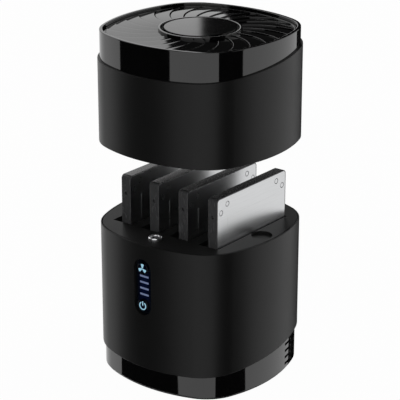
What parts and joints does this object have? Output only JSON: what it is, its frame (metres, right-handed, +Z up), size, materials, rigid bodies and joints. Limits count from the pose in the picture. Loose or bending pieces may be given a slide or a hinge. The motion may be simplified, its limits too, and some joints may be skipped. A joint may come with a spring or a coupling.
{
  "type": "hard drive docking station",
  "caption": "Upright docking station with drive slots in its deck, lit front keys and a lift-off fan lid with a swirl grille.",
  "frame": {"origin": "on the table under the middle of the body", "axes": "+Z up, the lit front panel faces -Y, the row of drives runs along X"},
  "size_m": [0.114, 0.114, 0.22],
  "materials": {
    "shell": "fine matte charcoal",
    "gloss": "polished black",
    "frame": "plain dark moulding",
    "board": "solder mask",
    "steel": "bright",
    "rubber": "matte",
    "light": "clear, lit pale blue",
    "case": "dark grey, satin",
    "cover": "brushed silver",
    "brass": "plain"
  },
  "bodies": {
    "base": {"base_shell": "shell", "deck": "shell", "base_band": "gloss", "front_panel": "gloss", "controller_chip": "gloss", "dc_inlet": "gloss", "sata_socket_1": "gloss", "sata_socket_2": "gloss", "sata_socket_3": "gloss", "sata_socket_4": "gloss", "bottom_cover": "frame", "chassis": "frame", "key_switches": "frame", "contact_cup": "frame", "bay_guide_1": "frame", "bay_guide_2": "frame", "bay_guide_3": "frame", "bay_guide_4": "frame", "backplane_board": "board", "bridge_board": "board", "front_board": "board", "bottom_screws": "steel", "board_screws": "steel", "usb_port": "steel", "contact_ring": "steel", "rubber_feet": "rubber", "light_bars": "light"},
    "lid": {"lid_shell": "shell", "lid_band": "gloss", "lid_grille": "gloss", "hub_cap": "gloss", "fan_tray": "frame", "fan_frame": "frame", "fan_bearing": "brass", "fan_stator": "brass", "fan_screws": "steel", "fan_lead": "rubber", "contact_post": "frame", "contact_tip": "brass"},
    "rotor": {"fan_rotor": "frame", "fan_shaft": "steel"},
    "fan_button": {"fan_key": "gloss"},
    "power_button": {"power_key": "gloss"},
    "drive_1": {"drive_1_case": "case", "drive_1_cover": "cover", "drive_1_board": "board", "drive_1_screws": "steel"},
    "drive_2": {"drive_2_case": "case", "drive_2_cover": "cover", "drive_2_board": "board", "drive_2_screws": "steel"},
    "drive_3": {"drive_3_case": "case", "drive_3_cover": "cover", "drive_3_board": "board", "drive_3_screws": "steel"},
    "drive_4": {"drive_4_case": "case", "drive_4_cover": "cover", "drive_4_board": "board", "drive_4_screws": "steel"}
  },
  "joints": [
    {"name": "lid_lift", "type": "slide", "parent": "base", "child": "lid", "axis": [0, 0, 1], "range_m": [-0.0529, 0.045]},
    {"name": "fan_spin", "type": "hinge", "parent": "lid", "child": "rotor", "pos_m": [0, 0, 0.2], "axis": [0, 0, 1], "continuous": true},
    {"name": "fan_press", "type": "slide", "parent": "base", "child": "fan_button", "axis": [0, 1, 0], "range_m": [0, 0.0005], "stiffness_N_per_m": 400},
    {"name": "power_press", "type": "slide", "parent": "base", "child": "power_button", "axis": [0, 1, 0], "range_m": [0, 0.0005], "stiffness_N_per_m": 400},
    {"name": "drive_1_pull", "type": "slide", "parent": "base", "child": "drive_1", "axis": [0, 0, 1], "range_m": [0, 0.05]},
    {"name": "drive_2_pull", "type": "slide", "parent": "base", "child": "drive_2", "axis": [0, 0, 1], "range_m": [0, 0.05]},
    {"name": "drive_3_pull", "type": "slide", "parent": "base", "child": "drive_3", "axis": [0, 0, 1], "range_m": [0, 0.05]},
    {"name": "drive_4_pull", "type": "slide", "parent": "base", "child": "drive_4", "axis": [0, 0, 1], "range_m": [0, 0.05]}
  ]
}
